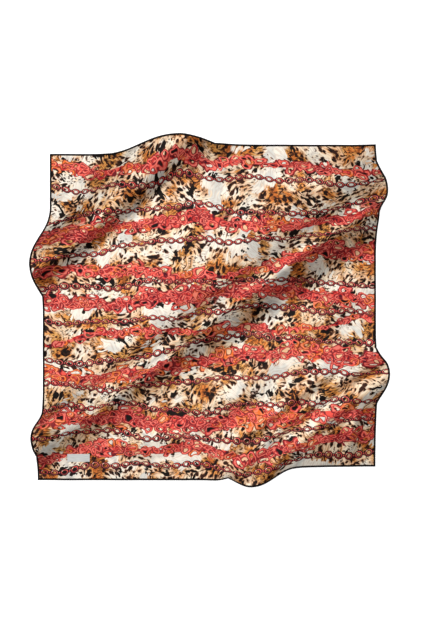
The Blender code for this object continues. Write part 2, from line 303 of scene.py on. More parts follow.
def fold_effect(fold, place):
    """How high a fold lifts the cloth, and how far it draws it in."""
    line = fold.end - fold.start
    length = np.linalg.norm(line)
    ahead = line / length
    lower_right = np.array((ahead[1], -ahead[0]))
    offset = place - fold.start
    along = offset @ ahead / length
    upper_reach = between(fold.rows, "upper_reach", along)
    lower_reach = between(fold.rows, "lower_reach", along)
    beside = offset @ lower_right
    across = beside - between(fold.rows, "bow", along)
    part = np.clip(across / np.where(across < 0, upper_reach, lower_reach), -1.0, 1.0)
    drop = np.abs(part) ** FOOT_DRAWN_OUT
    lift = between(fold.rows, "height", along) * (1 + np.cos(np.pi * drop)) / 2

    upper_draw, lower_draw = fold.drawn_over
    part = np.clip(beside / np.where(beside < 0, upper_draw, lower_draw), -1.0, 1.0)
    upper_share = lower_draw / (upper_draw + lower_draw)
    used = part - np.sin(2 * np.pi * part) / (2 * np.pi)
    taken = upper_share + used * np.where(part < 0, upper_share, 1 - upper_share)
    if fold.loose_side == "upper":
        taken = 1 - taken
    way = np.clip(along, 0.0, 1.0)[:, None]
    slack = fold.slack_at_start * (1 - way) + fold.slack_at_end * way
    return lift, taken[:, None] * slack


def flare_effect(flare, place, flat):
    """How far a flare carries the cloth past its edge."""
    fold = FOLDS[flare.fold]
    tip = fold.end if flare.at_end else fold.start
    outward = OUTWARD[flare.edge]
    beside = (place - tip) @ np.abs(outward[::-1])
    reach = np.where(beside < 0, flare.before, flare.after)
    crisp = np.where(beside < 0, flare.crisp_before, flare.crisp_after)
    part = np.minimum(np.abs(beside) / reach, 1.0)
    soft_foot = (1 + np.cos(np.pi * part)) / 2
    crisp_foot = np.cos(np.pi * part / 2)
    inward = np.clip((HALF_CUT - flat @ outward) / flare.depth, 0.0, 1.0)
    fade = (1 - inward) ** 2 * (1 + 2 * inward)
    carried = flare.outward * fade * (soft_foot + crisp * (crisp_foot - soft_foot))
    return carried[:, None] * outward


def swell_lift(swell, place):
    """How high a swell lifts the cloth."""
    turn = math.radians(swell.turn_deg)
    offset = place - np.array((swell.x, swell.y))
    length = offset @ np.array((math.cos(turn), math.sin(turn))) / swell.half_length
    width = offset @ np.array((-math.sin(turn), math.cos(turn))) / swell.half_width
    return swell.height * np.maximum(0.0, 1 - length**2 - width**2) ** 2


def crease_beside(row):
    """A crease that follows a fold, with its place on the laid square."""
    fold = FOLDS[row.fold]
    line = fold.end - fold.start
    ahead = line / np.linalg.norm(line)
    x, y = fold.start + row.along * line + row.beside * np.array((ahead[1], -ahead[0]))
    return Crease(x, y, row.half_length, row.half_width, row.turn_deg, row.bend, row.height)


def crease_lift(crease, place):
    """How high a small crease lifts the cloth, or how far it lowers it."""
    turn = math.radians(crease.turn_deg)
    offset = place - np.array((crease.x, crease.y))
    along = offset @ np.array((math.cos(turn), math.sin(turn))) / crease.half_length
    across = offset @ np.array((-math.sin(turn), math.cos(turn)))
    across = (across - crease.bend * (1 - along**2)) / crease.half_width
    fade = np.maximum(0.0, 1 - along**2) ** 2
    return crease.height * fade * np.exp(-(across**2))


def ripple_lift(place):
    """The fine unevenness, from nothing to twice RIPPLE_DEPTH."""
    lift = np.full(len(place), RIPPLE_DEPTH)
    for ripple in RIPPLES:
        turn = math.radians(ripple.turn_deg)
        along = place @ np.array((math.cos(turn), math.sin(turn)))
        lift += ripple.height * np.sin(2 * np.pi * along / ripple.wavelength + ripple.shift)
    return lift


def laid(flat):
    """Places of points of the flat cut on the underside of the laid scarf."""
    place = eased_square(flat)
    spread = place - MIDDLE
    lift = ripple_lift(place)
    for swell in SWELLS:
        lift = lift + swell_lift(swell, place)
    for fold in FOLDS.values():
        fold_lift, drawn_in = fold_effect(fold, place)
        lift = lift + fold_lift
        spread = spread + drawn_in
    for crease in CREASES + tuple(crease_beside(row) for row in FOLD_CREASES):
        lift = lift + crease_lift(crease, place)
    for flare in FLARES:
        spread = spread + flare_effect(flare, place, flat)
    return np.column_stack((spread, np.maximum(lift, 0.0)))


def unit(vectors):
    """The vectors, each made one long."""
    return vectors / np.linalg.norm(vectors, axis=-1, keepdims=True)


def cloth_directions(flat):
    """Unit directions along the cut's width, along its height and out of its face."""
    right = np.array((CLOTH_STEP, 0.0))
    up = np.array((0.0, CLOTH_STEP))
    along_u = unit(laid(flat + right) - laid(flat - right))
    along_v = unit(laid(flat + up) - laid(flat - up))
    return along_u, along_v, unit(np.cross(along_u, along_v))


def above(flat, height):
    """Places that lie a height above the underside, square to the cloth."""
    height = np.broadcast_to(height, len(flat))
    return laid(flat) + cloth_directions(flat)[2] * height[:, None]


# ---------------------------------------------------------------- inks and finishes


def ink(red, green, blue):
    """A colour given as it is seen, from 0 to 255, as the linear values that nodes take."""
    seen = np.array((red, green, blue)) / 255
    linear = np.where(seen <= 0.04045, seen / 12.92, ((seen + 0.055) / 1.055) ** 2.4)
    return (*linear.tolist(), 1.0)


WHITE = ink(240, 231, 217)
CREAM = ink(245, 223, 194)
PALE_GREY = ink(212, 209, 201)
APRICOT = ink(232, 188, 150)
GOLD = ink(226, 160, 90)
YELLOW_GOLD = ink(222, 178, 104)
AMBER = ink(212, 124, 58)
ORANGE = ink(228, 118, 52)
TAWNY = ink(150, 86, 46)
BROWN = ink(92, 48, 24)
DARK_BROWN = ink(62, 32, 18)
CORAL = ink(230, 90, 78)
PINK_CORAL = ink(244, 160, 142)
DEEP_CORAL = ink(182, 46, 46)
ROSE = ink(222, 126, 110)
MAROON = ink(84, 22, 38)
DARK_MAROON = ink(62, 18, 32)
NEAR_BLACK = ink(22, 10, 5)


class Bench:
    """Adds shader nodes to one tree and joins them up."""

    def __init__(self, tree):
        self.tree = tree

    def put(self, socket, value):
        """Joins a socket up to another node's output, or sets it to a plain value."""
        if isinstance(value, bpy.types.NodeSocket):
            self.tree.links.new(value, socket)
        else:
            socket.default_value = value

    def add(self, kind, values, **settings):
        """A new node with its inputs given as name or number: value. Returns its outputs."""
        node = self.tree.nodes.new("ShaderNode" + kind)
        for name, setting in settings.items():
            setattr(node, name, setting)
        for key, value in values.items():
            self.put(node.inputs[key], value)
        return node.outputs

    def maths(self, operation, first, second=0.0, third=0.0):
        values = {0: first, 1: second, 2: third}
        return self.add("Math", values, operation=operation)[0]

    def vector(self, operation, first, second):
        return self.add("VectorMath", {0: first, 1: second}, operation=operation)[0]

    def step(self, value, low, high):
        """A soft step from 0 at low to 1 at high, or the other way if low is the larger."""
        values = {"Value": value, "From Min": low, "From Max": high}
        return self.add("MapRange", values, interpolation_type="SMOOTHSTEP")[0]

    def span(self, value, low, high):
        """Spreads a value from 0 to 1 over low to high."""
        values = {"Value": value, "To Min": low, "To Max": high}
        return self.add("MapRange", values)[0]

    def blend(self, amount, under, over):
        """The colour under, covered by the colour over as far as the amount goes."""
        values = {0: amount, 6: under, 7: over}
        return self.add("Mix", values, data_type="RGBA")[2]

    def line(self, value, at, half_width):
        """1 on a soft line where the value is close to one number."""
        off = self.maths("ABSOLUTE", self.maths("SUBTRACT", value, at))
        return self.step(off, half_width, half_width * 0.5)

    def ramp(self, value, stops):
        """A colour that runs through the stops, each a value and the colour there."""
        node = self.tree.nodes.new("ShaderNodeValToRGB")
        elements = node.color_ramp.elements
        while len(elements) < len(stops):
            elements.new(0.5)
        for element, (position, colour) in zip(elements, stops):
            element.position = position
            element.color = colour
        self.put(node.inputs[0], value)
        return node.outputs[0]

    def noise(self, place, size, detail=1.0, colour=False):
        """Soft noise from 0 to 1 whose blotches are about as wide as size."""
        values = {"Vector": place, "Scale": 1 / size, "Detail": detail}
        return self.add("TexNoise", values, noise_dimensions="2D")[1 if colour else 0]

    def cells(self, place, randomness):
        """Cells of about one unit: how far out a place lies in its cell, and the cell's data."""
        values = {"Vector": place, "Scale": 1.0, "Randomness": randomness}
        return self.add("TexVoronoi", values, voronoi_dimensions="2D")

    def wobble(self, place, size, amount):
        """The place moved a little, so that a shape drawn on it looks made by hand."""
        shift = self.vector("SUBTRACT", self.noise(place, size, 1.0, True), (0.5, 0.5, 0.5))
        return self.vector("ADD", place, self.vector("MULTIPLY", shift, (amount, amount, 0.0)))

    def elsewhere(self, place, x, y):
        """The same cloth over another corner of the noise."""
        return self.vector("ADD", place, (x, y, 0.0))

    def turned(self, place, turn):
        values = {"Vector": place, "Angle": turn}
        return self.add("VectorRotate", values, rotation_type="Z_AXIS")[0]

    def stretched(self, place, length, width):
        """The place in steps of a length along X and of a width along Y."""
        steps = self.add("CombineXYZ", {"X": length, "Y": width, "Z": 1.0})[0]
        return self.vector("DIVIDE", place, steps)

    def product(self, *values):
        """All the values multiplied."""
        total = values[0]
        for value in values[1:]:
            total = self.maths("MULTIPLY", total, value)
        return total

    def group(self, tree, values):
        node = self.tree.nodes.new("ShaderNodeGroup")
        node.node_tree = tree
        for key, value in values.items():
            self.put(node.inputs[key], value)
        return node.outputs


def new_group(name, inputs, outputs):
    """A node group with named inputs and outputs, given as name: socket type."""
    tree = bpy.data.node_groups.new(name, "ShaderNodeTree")
    for label, kind in inputs.items():
        tree.interface.new_socket(label, in_out="INPUT", socket_type="NodeSocket" + kind)
    for label, kind in outputs.items():
        tree.interface.new_socket(label, in_out="OUTPUT", socket_type="NodeSocket" + kind)
    given = tree.nodes.new("NodeGroupInput").outputs
    made = tree.nodes.new("NodeGroupOutput").inputs
    return tree, Bench(tree), given, made


def brush_strokes():
    """Fine brush strokes in one direction, as in painted fur."""
    sizes = {"Turn": "Float", "Length": "Float", "Width": "Float", "Cover": "Float"}
    tree, bench, given, made = new_group(
        "brush strokes", {"Place": "Vector", **sizes}, {"Mask": "Float"}
    )
    bent = bench.wobble(given["Place"], 0.055, 0.030)
    lines = bench.stretched(bench.turned(bent, given["Turn"]), given["Length"], given["Width"])
    tone = bench.noise(lines, 1.0, 1.5)
    edge = bench.maths("SUBTRACT", 0.78, bench.product(given["Cover"], 0.50))
    strokes = bench.step(tone, edge, bench.maths("ADD", edge, 0.07))
    bench.put(made["Mask"], strokes)
    return tree


def painted_spots():
    """Long animal spots in one direction: a dark core in a softer rim."""
    sizes = {"Turn": "Float", "Length": "Float", "Width": "Float", "Size": "Float"}
    tree, bench, given, made = new_group(
        "painted spots", {"Place": "Vector", **sizes}, {"Core": "Float", "Rim": "Float"}
    )
    bent = bench.wobble(bench.wobble(given["Place"], 0.060, 0.030), 0.012, 0.008)
    cells = bench.stretched(bench.turned(bent, given["Turn"]), given["Length"], given["Width"])
    spot = bench.cells(cells, 0.85)
    chance = bench.add("SeparateColor", {"Color": spot["Color"]})[0]
    size = bench.product(given["Size"], bench.span(chance, 0.60, 1.20))
    core = bench.step(spot["Distance"], size, bench.maths("SUBTRACT", size, 0.07))
    outer = bench.maths("ADD", size, 0.11)
    rim = bench.step(spot["Distance"], outer, bench.maths("SUBTRACT", outer, 0.10))
    present = bench.step(given["Size"], 0.15, 0.19)
    bench.put(made["Core"], bench.product(core, present))
    bench.put(made["Rim"], bench.product(rim, present))
    return tree


# Ribbons and strings run across the scarf: height of the line at the middle, slope, height
# and length of its wave, shift of the wave in radians, and half the ribbon's width, or the
# pitch of the string's beads.
Run = namedtuple("Run", "height slope wave wavelength shift size")
RIBBONS = (
    Run(0.398, -0.030, 0.012, 0.62, 0.5, 0.010),
    Run(0.242, 0.030, 0.015, 0.81, 2.2, 0.019),
    Run(0.118, 0.018, 0.012, 0.70, 4.9, 0.012),
    Run(0.040, -0.036, 0.015, 0.92, 1.1, 0.017),
    Run(-0.052, 0.022, 0.014, 0.68, 3.4, 0.007),
    Run(-0.140, 0.028, 0.017, 0.77, 0.2, 0.018),
    Run(-0.292, -0.022, 0.012, 0.66, 5.5, 0.019),
    Run(-0.376, 0.018, 0.012, 0.86, 2.8, 0.012),
)
STRINGS = (
    Run(0.356, -0.010, 0.010, 0.64, 0.9, 0.0270),
    Run(0.282, 0.024, 0.013, 0.85, 2.6, 0.0280),
    Run(0.192, 0.034, 0.014, 0.76, 1.8, 0.0260),
    Run(0.078, -0.010, 0.012, 0.88, 2.0, 0.0275),
    Run(-0.008, -0.020, 0.013, 0.98, 0.8, 0.0255),
    Run(-0.096, 0.026, 0.015, 0.80, 0.6, 0.0270),
    Run(-0.186, 0.010, 0.014, 0.72, 5.9, 0.0260),
    Run(-0.256, -0.014, 0.011, 0.62, 5.2, 0.0280),
    Run(-0.334, -0.006, 0.012, 0.74, 4.4, 0.0265),
    Run(-0.416, 0.012, 0.010, 0.90, 2.5, 0.0270),
)


def straying(bench, place):
    """How far a run strays from its own line. Neighbours bend together."""
    return bench.span(bench.noise(place, 0.110, 0.0), -0.014, 0.014)


def off_the_run(bench, x, y, stray, run):
    """How far a place lies above a long wavy line that runs across the cloth."""
    angle = bench.product(bench.maths("DIVIDE", x, run.wavelength), 2 * math.pi)
    wave = bench.maths("SINE", bench.maths("ADD", angle, run.shift))
    line = bench.maths("MULTIPLY_ADD", wave, run.wave, run.height)
    line = bench.maths("MULTIPLY_ADD", x, run.slope, line)
    return bench.maths("SUBTRACT", y, bench.maths("ADD", line, stray))


def ribbon_field():
    """How far a place lies out from the nearest ribbon: 0 on its line and 1 at its edge."""
    tree, bench, given, made = new_group("ribbon field", {"Place": "Vector"}, {"Reach": "Float"})
    x, y, _ = bench.add("SeparateXYZ", {"Vector": given["Place"]})
    stray = straying(bench, given["Place"])
    swollen = bench.span(bench.noise(given["Place"], 0.105, 1.0), 0.20, 1.80)
    nearest = 10.0
    for run in RIBBONS:
        off = bench.maths("ABSOLUTE", off_the_run(bench, x, y, stray, run))
        reach = bench.maths("DIVIDE", off, bench.product(swollen, run.size))
        nearest = bench.maths("MINIMUM", nearest, reach)
    bench.put(made["Reach"], nearest)
    return tree


def laid_rings():
    """Rings laid close, one over the next. Each knows the place of its own centre."""
    masks = {"Ring": "Float", "Outline": "Float", "Gleam": "Float", "Middle": "Float"}
    tree, bench, given, made = new_group(
        "laid rings",
        {"Place": "Vector", "Length": "Float", "Width": "Float"},
        {**masks, "Chance": "Color", "Centre": "Vector"},
    )
    steps = bench.add("CombineXYZ", {"X": given["Length"], "Y": given["Width"], "Z": 1.0})[0]
    place = bench.wobble(given["Place"], 0.030, 0.026)
    cell = bench.cells(bench.vector("DIVIDE", place, steps), 0.9)
    out = cell["Distance"]
    broken = bench.noise(given["Place"], 0.009, 1.0)
    inner = bench.line(out, 0.235, 0.045)
    bench.put(made["Ring"], bench.step(out, 0.56, 0.54))
    bench.put(made["Outline"], bench.maths("MAXIMUM", inner, bench.line(out, 0.50, 0.055)))
    gleam = bench.product(bench.line(out, 0.37, 0.075), bench.step(broken, 0.36, 0.50))
    bench.put(made["Gleam"], gleam)
    bench.put(made["Middle"], bench.step(out, 0.23, 0.20))
    bench.put(made["Chance"], cell["Color"])
    bench.put(made["Centre"], bench.vector("MULTIPLY", cell["Position"], steps))
    return tree


def bead_string():
    """Open oval beads on a cord, with a small round bead between each two."""
    line = {name.capitalize(): "Float" for name in Run._fields}
    tree, bench, given, made = new_group(
        "bead string",
        {"Place": "Vector", **line, "Half Length": "Float", "Half Height": "Float"},
        {name: "Float" for name in ("Cover", "Band", "Glint", "Shade", "Chance")},
    )
    x, y, _ = bench.add("SeparateXYZ", {"Vector": given["Place"]})
    run = Run(*(given[name.capitalize()] for name in Run._fields))
    off = off_the_run(bench, x, y, straying(bench, given["Place"]), run)
    count = bench.maths("DIVIDE", x, run.size)
    number = bench.maths("ROUND", count)
    along = bench.product(bench.maths("SUBTRACT", count, number), run.size)
    seed = {"W": bench.maths("ADD", number, run.height)}
    chance = bench.add("TexWhiteNoise", seed, noise_dimensions="1D")[0]

    def far_out(a, b):
        """Distance from the middle, given how far off it a place lies in two directions."""
        return bench.maths("SQRT", bench.maths("MULTIPLY_ADD", a, a, bench.product(b, b)))

    def oval(along_by, half_length, off_by, half_height):
        """How far out a place lies in an oval, which is 1 on its edge."""
        a = bench.maths("DIVIDE", bench.maths("SUBTRACT", along, along_by), half_length)
        b = bench.maths("DIVIDE", bench.maths("SUBTRACT", off, off_by), half_height)
        return far_out(a, b)

    bead = oval(0.0, given["Half Length"], 0.0, given["Half Height"])
    to_next = bench.maths("SUBTRACT", bench.maths("ABSOLUTE", along), bench.product(run.size, 0.5))
    small_radius = bench.product(given["Half Height"], 0.42)
    small = bench.maths("DIVIDE", far_out(to_next, off), small_radius)
    cord = bench.step(bench.maths("ABSOLUTE", off), 0.0016, 0.0010)
    solid = bench.maths("MAXIMUM", bench.step(bead, 1.06, 0.98), bench.step(small, 1.10, 0.95))
    eye = bench.step(bead, 0.46, 0.40)
    band = bench.product(bench.step(bead, 0.84, 0.72), bench.step(bead, 0.54, 0.64))
    bench.put(made["Cover"], bench.maths("SUBTRACT", bench.maths("MAXIMUM", solid, cord), eye))
    bench.put(made["Band"], bench.maths("MAXIMUM", band, bench.step(small, 0.60, 0.45)))
    bench.put(made["Glint"], bench.step(oval(-0.0050, 0.0030, 0.0036, 0.0020), 1.0, 0.5))
    bench.put(made["Shade"], bench.step(off, 0.004, -0.006))
    bench.put(made["Chance"], chance)
    return tree


# The ways that the painted fur lies, as turns of its marks, and its colours by their warmth.
FUR_TURNS = (math.radians(-68), math.radians(-16), math.radians(40))
FUR_COLOURS = (
    (0.33, WHITE),
    (0.41, CREAM),
    (0.53, APRICOT),
    (0.595, GOLD),
    (0.67, AMBER),
    (0.80, TAWNY),
)


def lies_of_fur(bench, place):
    """How far the fur lies in each of its ways, as shares that make 1."""
    lie = bench.noise(bench.wobble(place, 0.03, 0.012), 0.095, 1.0)
    first = bench.step(lie, 0.47, 0.45)
    last = bench.step(lie, 0.55, 0.57)
    middle = bench.maths("SUBTRACT", bench.maths("SUBTRACT", 1.0, first), last)
    return first, middle, last


def painted_ground(strokes_group, spots_group):
    """Painted animal fur: white to gold with brown strokes, dark spots and blots."""
    tree, bench, given, made = new_group("painted fur", {"Place": "Vector"}, {"Color": "Color"})
    place = given["Place"]
    shares = lies_of_fur(bench, place)

    def over_all_lies(group, values, output):
        """The same marks along each way that the fur lies, each in its own share."""
        total = 0.0
        for turn, share in zip(FUR_TURNS, shares):
            marks = bench.group(group, {"Place": place, "Turn": turn, **values})[output]
            total = bench.maths("MULTIPLY_ADD", marks, share, total)
        return total

    def small_marks(x, y, turn, **sizes):
        """Small dark marks, all in one direction."""
        moved = bench.elsewhere(place, x, y)
        return bench.group(spots_group, {"Place": moved, "Turn": turn, **sizes})["Core"]

    thin_stroke = {"Length": 0.024, "Width": 0.0034, "Cover": 0.55}
    wide_stroke = {"Length": 0.034, "Width": 0.0080, "Cover": 0.55}
    fine = over_all_lies(strokes_group, thin_stroke, "Mask")
    wide = over_all_lies(strokes_group, wide_stroke, "Mask")
    feather = bench.maths("SUBTRACT", wide, 0.5)

    def feathered(amount, value):
        """The value with its edges drawn out along the wide strokes."""
        return bench.maths("MULTIPLY_ADD", feather, amount, value)

    # White fur to golden fur, with patches of bare silk left between.
    bare = feathered(0.08, bench.noise(bench.elsewhere(place, 7.3, 2.9), 0.080, 1.0))
    covered = bench.step(bare, 0.650, 0.605)
    warmth = feathered(0.08, bench.noise(bench.elsewhere(place, 3.1, 1.7), 0.066, 2.0))
    fur = bench.ramp(warmth, FUR_COLOURS)
    gilt = bench.step(bench.noise(bench.elsewhere(place, 8.8, 4.1), 0.110, 0.0), 0.54, 0.64)
    gilt = bench.product(gilt, bench.step(warmth, 0.48, 0.58), 0.40)
    fur = bench.blend(gilt, fur, YELLOW_GOLD)
    plain = bench.step(bench.noise(place, 0.050, 2.0), 0.42, 0.62)
    plain = bench.blend(plain, WHITE, PALE_GREY)
    plain = bench.blend(bench.product(fine, 0.20), plain, TAWNY)
    colour = bench.blend(covered, plain, fur)
    thin = bench.product(fine, bench.span(bench.step(warmth, 0.42, 0.56), 0.24, 0.50))
    colour = bench.blend(bench.product(thin, covered), colour, BROWN)

    # Long dark spots, large where they lie thick.
    thick = bench.noise(bench.elsewhere(place, 1.9, 8.2), 0.055, 1.0)
    size = bench.product(bench.span(bench.step(thick, 0.36, 0.58), 0.17, 0.45), covered)
    size = bench.maths("MULTIPLY_ADD", bench.product(feather, size), 0.45, size)
    spots = {"Length": 0.0205, "Width": 0.0120, "Size": size}
    rim = over_all_lies(spots_group, spots, "Rim")
    colour = bench.blend(bench.product(rim, 0.70), colour, TAWNY)
    dark = bench.step(bench.noise(place, 0.014, 1.0), 0.42, 0.62)
    dark = bench.blend(dark, NEAR_BLACK, DARK_BROWN)
    colour = bench.blend(over_all_lies(spots_group, spots, "Core"), colour, dark)

    # Small dashes where the spots are sparse, and close bars on the golden fur.
    sparse = bench.maths("SUBTRACT", 1.0, bench.step(thick, 0.40, 0.48))
    dashes = small_marks(3.1, 1.7, 0.12, Length=0.0125, Width=0.0070, Size=0.30)
    dashes = bench.product(dashes, bench.product(covered, sparse), 0.85)
    colour = bench.blend(dashes, colour, DARK_BROWN)
    bars = small_marks(6.1, 3.3, -0.10, Length=0.0170, Width=0.0052, Size=0.34)
    golden = bench.product(covered, bench.step(warmth, 0.53, 0.58), 0.75)
    colour = bench.blend(bench.product(bars, golden), colour, DARK_BROWN)

    blot = feathered(0.10, bench.noise(bench.elsewhere(place, 5.5, 6.1), 0.046, 2.0))
    colour = bench.blend(bench.step(blot, 0.640, 0.665), colour, NEAR_BLACK)
    bench.put(made["Color"], colour)
    return tree


# A layer of rings: where it lies in the noise, the spacing of its rings along and across, and
# how far out from a ribbon's line a ring may have its centre, where 1 is the edge.
RingLayer = namedtuple("RingLayer", "shift length width out_to")
RING_LAYERS = (
    RingLayer((3.7, 1.1, 0.0), 0.0330, 0.0200, 1.60),
    RingLayer((0.9, 5.3, 0.0), 0.0280, 0.0170, 1.20),
)


def ring_ribbons(colour, bench, place):
    """Wavy ribbons of tangled coral rings, over the colour of the ground."""
    field_group = ribbon_field()
    rings_group = laid_rings()
    mottle = bench.noise(place, 0.016, 2.0)
    coral = bench.blend(bench.step(bench.noise(place, 0.060, 1.0), 0.48, 0.66), CORAL, ROSE)
    coral = bench.blend(bench.step(mottle, 0.58, 0.44), coral, DEEP_CORAL)
    coral = bench.blend(bench.step(mottle, 0.42, 0.35), coral, MAROON)
    region = bench.noise(bench.elsewhere(place, 4.4, 7.7), 0.150, 0.0)
    warm = bench.span(bench.step(region, 0.50, 0.66), 0.12, 0.42)
    deep = bench.product(bench.step(region, 0.44, 0.30), 0.55)
    reach = bench.group(field_group, {"Place": place})["Reach"]
    ragged = bench.span(bench.noise(bench.stretched(place, 0.026, 0.007), 1.0, 2.0), -0.70, 0.70)
    core = bench.step(bench.maths("ADD", reach, ragged), 0.72, 0.58)
    colour = bench.blend(core, colour, coral)

    for layer in RING_LAYERS:
        shifted = bench.vector("ADD", place, layer.shift)
        sizes = {"Length": layer.length, "Width": layer.width}
        rings = bench.group(rings_group, {"Place": shifted, **sizes})
        centre = bench.vector("SUBTRACT", rings["Centre"], layer.shift)
        chance = bench.add("SeparateColor", {"Color": rings["Chance"]})
        centre_reach = bench.group(field_group, {"Place": centre})["Reach"]
        out = bench.maths("MULTIPLY_ADD", chance[1], 0.5, centre_reach)
        near = bench.step(out, layer.out_to, layer.out_to - 0.04)
        ring = bench.blend(bench.step(chance[0], 0.45, 0.95), CORAL, DEEP_CORAL)
        orange = bench.step(chance[0], warm, bench.maths("SUBTRACT", warm, 0.02))
        ring = bench.blend(orange, ring, ORANGE)
        ring = bench.blend(deep, ring, DEEP_CORAL)
        filled = 0.0
        for share, filling in ((chance[1], NEAR_BLACK), (chance[2], APRICOT)):
            chosen = bench.product(rings["Middle"], bench.step(share, 0.88, 0.90))
            ring = bench.blend(chosen, ring, filling)
            filled = bench.maths("MAXIMUM", filled, chosen)
        opening = bench.maths("SUBTRACT", rings["Middle"], filled)
        cover = bench.product(near, bench.maths("SUBTRACT", rings["Ring"], opening))
        ring = bench.blend(bench.product(rings["Gleam"], 0.50), ring, PINK_CORAL)
        ring = bench.blend(bench.product(rings["Outline"], 0.80), ring, MAROON)
        colour = bench.blend(cover, colour, ring)
    return colour


BEAD_SIZE = {"Half Length": 0.0118, "Half Height": 0.0082}


def scarf_print():
    """The whole print: painted fur, wavy ribbons and strings of beads."""
    tree, bench, given, made = new_group("scarf print", {"Place": "Vector"}, {"Color": "Color"})
    place = given["Place"]
    ground_group = painted_ground(brush_strokes(), painted_spots())
    colour = bench.group(ground_group, {"Place": place})["Color"]
    colour = ring_ribbons(colour, bench, place)

    string_group = bead_string()
    for run in STRINGS:
        line = {name.capitalize(): value for name, value in run._asdict().items()}
        string = bench.group(string_group, {"Place": place, **line, **BEAD_SIZE})
        bead = bench.blend(string["Chance"], CORAL, ROSE)
        bead = bench.blend(bench.product(string["Shade"], 0.65), bead, MAROON)
        bead = bench.blend(string["Glint"], bead, CREAM)
        bead = bench.blend(string["Band"], DARK_MAROON, bead)
        colour = bench.blend(string["Cover"], colour, bead)

    x, y, _ = bench.add("SeparateXYZ", {"Vector": place})
    out = bench.maths("MAXIMUM", bench.maths("ABSOLUTE", x), bench.maths("ABSOLUTE", y))
    border_line = HALF_PANEL - PRINTED_BORDER
    border = bench.step(out, border_line, border_line + BORDER_SOFTNESS)
    colour = bench.blend(border, colour, NEAR_BLACK)
    bench.put(made["Color"], colour)
    return tree


def twill_weave():
    """The fine slanting ribs of silk twill, as a height from 0 to 1."""
    tree, bench, given, made = new_group(
        "twill weave", {"Place": "Vector", "Pitch": "Float"}, {"Height": "Float"}
    )
    x, y, _ = bench.add("SeparateXYZ", {"Vector": given["Place"]})
    slant = bench.maths("DIVIDE", bench.maths("ADD", x, y), given["Pitch"])
    rib = bench.maths("SINE", bench.product(slant, 2 * math.pi))
    bench.put(made["Height"], bench.span(rib, 0.5, 1.0))
    return tree


def new_material(name):
    """A material, the bench for its nodes, and its shader's inputs."""
    material = bpy.data.materials.new(name)
    material.use_nodes = True
    bench = Bench(material.node_tree)
    return material, bench, material.node_tree.nodes["Principled BSDF"].inputs


def cloth_place(bench):
    """A place on the flat cut, in metres from its middle, from the piece's own UV map."""
    flat = bench.add("UVMap", {}, uv_map="flat cut")[0]
    side = 2 * PANEL_REACH
    mapping = {"Vector": flat, "Location": (-side / 2, -side / 2, 0.0), "Scale": (side, side, 1.0)}
    return bench.add("Mapping", mapping)[0]


def woven_bump(bench, weave_group, place, pitch, strength):
    """The weave's ribs, as a normal."""
    height = bench.group(weave_group, {"Place": place, "Pitch": pitch})["Height"]
    ribs = {"Strength": strength, "Distance": WEAVE_DEPTH, "Height": height}
    return bench.add("Bump", ribs)[0]


def silk_material(name, print_group, weave_group, show_through):
    """Printed silk twill. Show-through is how much of the ink's depth is lost."""
    material, bench, shader = new_material(name)
    place = cloth_place(bench)
    colour = bench.group(print_group, {"Place": place})["Color"]
    if show_through:
        colour = bench.blend(show_through, colour, CREAM)
    bench.put(shader["Base Color"], colour)
    ribs = woven_bump(bench, weave_group, place, pitch=0.0007, strength=0.12)
    bench.put(shader["Normal"], ribs)
    shader["Metallic"].default_value = 0.45
    shader["Roughness"].default_value = 0.46
    shader["Specular IOR Level"].default_value = 0.32
    return material


def hem_material(weave_group):
    """The black border of the silk, rolled over itself."""
    material, bench, shader = new_material("rolled_hem_silk")
    place = bench.add("TexCoord", {})["Object"]
    wear = bench.step(bench.noise(place, 0.010, 2.0), 0.35, 0.70)
    bench.put(shader["Base Color"], bench.blend(wear, ink(44, 40, 42), ink(62, 56, 58)))
    ribs = woven_bump(bench, weave_group, place, pitch=0.0006, strength=0.2)
    bench.put(shader["Normal"], ribs)
    shader["Roughness"].default_value = 0.55
    return material


def thread_material(name, dark, light):
    """Twisted sewing thread."""
    material, bench, shader = new_material(name)
    place = bench.add("TexCoord", {})["Object"]
    tone = bench.noise(place, 0.0008, 1.0)
    bench.put(shader["Base Color"], bench.blend(tone, dark, light))
    shader["Roughness"].default_value = 0.5
    return material


def label_material(weave_group):
    """Plain white satin ribbon."""
    material, bench, shader = new_material("label_satin_ribbon")
    place = bench.add("TexCoord", {})["Object"]
    tone = bench.step(bench.noise(bench.stretched(place, 0.020, 0.0012), 1.0, 1.0), 0.3, 0.7)
    bench.put(shader["Base Color"], bench.blend(tone, ink(208, 208, 205), ink(226, 226, 224)))
    ribs = woven_bump(bench, weave_group, place, pitch=0.0005, strength=0.15)
    bench.put(shader["Normal"], ribs)
    shader["Roughness"].default_value = 0.36
    shader["Sheen Weight"].default_value = 0.15
    return material


# ---------------------------------------------------------------- making the pieces


def new_piece(name, mesh, *materials):
    """An object at the origin that shows a mesh in its materials."""
    piece = bpy.data.objects.new(name, mesh)
    bpy.context.scene.collection.objects.link(piece)
    for material in materials:
        mesh.materials.append(material)
    return piece


def cloth_grid(name, middle, half_size, cells, height):
    """A sheet of the cut's points, laid. Height is above the underside, at each point."""
    mesh = bpy.data.meshes.new(name)
    grid = bmesh.new()
    grid.loops.layers.uv.new("flat cut")
    bmesh.ops.create_grid(grid, x_segments=cells[0], y_segments=cells[1], size=1.0, calc_uvs=True)
    grid.to_mesh(mesh)
    grid.free()
    corners = np.empty(len(mesh.vertices) * 3)
    mesh.vertices.foreach_get("co", corners)
    square = corners.reshape(-1, 3)[:, :2]
    flat = np.array(middle) + square * np.array(half_size)
    mesh.vertices.foreach_set("co", above(flat, height(square)).ravel())
    mesh.update()
    mesh.shade_smooth()
    return mesh


def thicken(piece, thickness, material_step=0):
    """Gives a sheet its thickness, downward from its face."""
    wall = piece.modifiers.new("thickness", "SOLIDIFY")
    wall.thickness = thickness
    wall.offset = -1.0
    wall.material_offset = material_step


